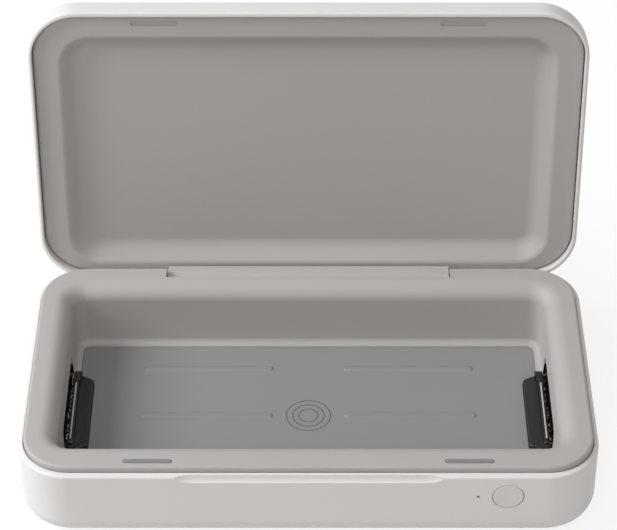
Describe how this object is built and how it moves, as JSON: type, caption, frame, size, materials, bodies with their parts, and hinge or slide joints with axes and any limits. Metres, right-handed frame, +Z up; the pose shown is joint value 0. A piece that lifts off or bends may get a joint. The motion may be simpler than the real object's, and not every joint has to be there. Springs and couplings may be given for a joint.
{
  "type": "uv sanitizer box for phones",
  "caption": "Low rounded box with a hinged lid that opens upright, a grey phone tub with a charging floor, lamps behind dark shades at both ends and a round power button in front.",
  "frame": {"origin": "middle of the base at the level of the foot ring's underside", "axes": "+X along the length to the right, +Y from the button side to the hinge side, +Z up"},
  "size_m": [0.228, 0.156, 0.154],
  "materials": {
    "white_shell": "smooth satin white moulding",
    "grey_liner": "fine matte grey",
    "grey_plate": "fine matte grey, slightly darker",
    "soft_pill": "matte dark grey silicone",
    "hinge_grey": "smooth light grey",
    "black_gloss": "glossy black",
    "lamp_glass": "clear quartz glass",
    "bright_metal": "bright nickel",
    "rubber_black": "matte black rubber",
    "hammered": "hammered bright aluminium",
    "copper": "wound enamelled copper",
    "ferrite": "sintered dark grey",
    "board": "green board",
    "black_part": "moulded black",
    "white_part": "moulded white",
    "magnet": "nickel plated",
    "steel": "plain steel",
    "rubber_grey": "matte grey rubber",
    "clear": "clear light pipe"
  },
  "bodies": {
    "base": {"base_shell": "white_shell", "base_liner": "grey_liner", "charging_plate": "grey_plate", "bumper_left": "soft_pill", "bumper_right": "soft_pill", "lamp_cover_left": "black_gloss", "lamp_cover_right": "black_gloss", "lamp_tube_left": "lamp_glass", "lamp_tube_right": "lamp_glass", "lamp_caps_left": "bright_metal", "lamp_caps_right": "bright_metal", "lamp_holders_left": "rubber_black", "lamp_holders_right": "rubber_black", "lamp_reflector_left": "hammered", "lamp_reflector_right": "hammered", "charging_coil": "copper", "ferrite_sheet": "ferrite", "main_board": "board", "main_chip": "black_part", "main_inductor": "ferrite", "main_capacitors": "black_part", "wire_sockets": "white_part", "switch_body": "black_part", "indicator_led": "white_part", "light_pipe": "clear", "lid_sensor": "black_part", "driver_board": "board", "driver_transformer": "ferrite", "driver_capacitor": "black_part", "usb_socket": "bright_metal", "usb_board": "board", "base_magnets": "magnet", "hinge_pin_left": "steel", "hinge_pin_right": "steel", "foot_ring": "rubber_grey", "base_screws": "steel", "lamp_cable_left": "white_part", "lamp_cable_right": "white_part", "coil_cable": "copper", "power_cable": "black_part"},
    "lid": {"lid_shell": "white_shell", "lid_liner": "grey_liner", "hinge_block": "hinge_grey", "lid_magnets": "magnet", "hinge_screws": "steel"},
    "button": {"button_cap": "white_shell", "switch_plunger": "black_part"}
  },
  "joints": [
    {"name": "lid_hinge", "type": "hinge", "parent": "base", "child": "lid", "pos_m": [0, 0.0612, 0.03], "axis": [1, 0, 0], "range_deg": [0, 95.8]},
    {"name": "power_button_press", "type": "slide", "parent": "base", "child": "button", "axis": [0, 1, 0], "range_m": [0, 0.0006], "stiffness_N_per_m": 2500}
  ]
}
